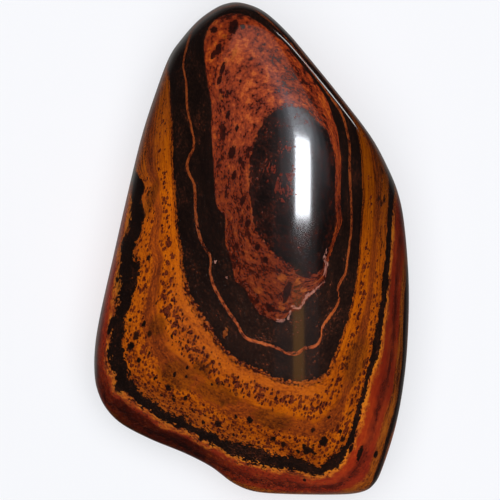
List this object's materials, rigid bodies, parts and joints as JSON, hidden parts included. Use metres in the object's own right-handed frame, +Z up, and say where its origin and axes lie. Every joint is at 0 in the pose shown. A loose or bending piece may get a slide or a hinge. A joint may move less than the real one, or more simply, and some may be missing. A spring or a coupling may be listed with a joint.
{
  "type": "tumbled mugglestone",
  "caption": "Polished tumbled stone of banded jasper, hematite and tiger's eye, with a narrow tip and an oval eye on its face, lying on its back.",
  "frame": {"origin": "centre of the bounding box at the resting surface, under the middle of the stone", "axes": "+Z up out of the banded face, +Y along the stone towards its narrow tip, +X to the right when the face is seen from above with the tip up"},
  "size_m": [0.0204, 0.0318, 0.0127],
  "materials": {
    "banded_stone": "tumbled to a high polish, with bands of red jasper, golden tiger's eye and black hematite"
  },
  "bodies": {
    "root": {"tumbled_stone": "banded_stone"}
  },
  "joints": []
}
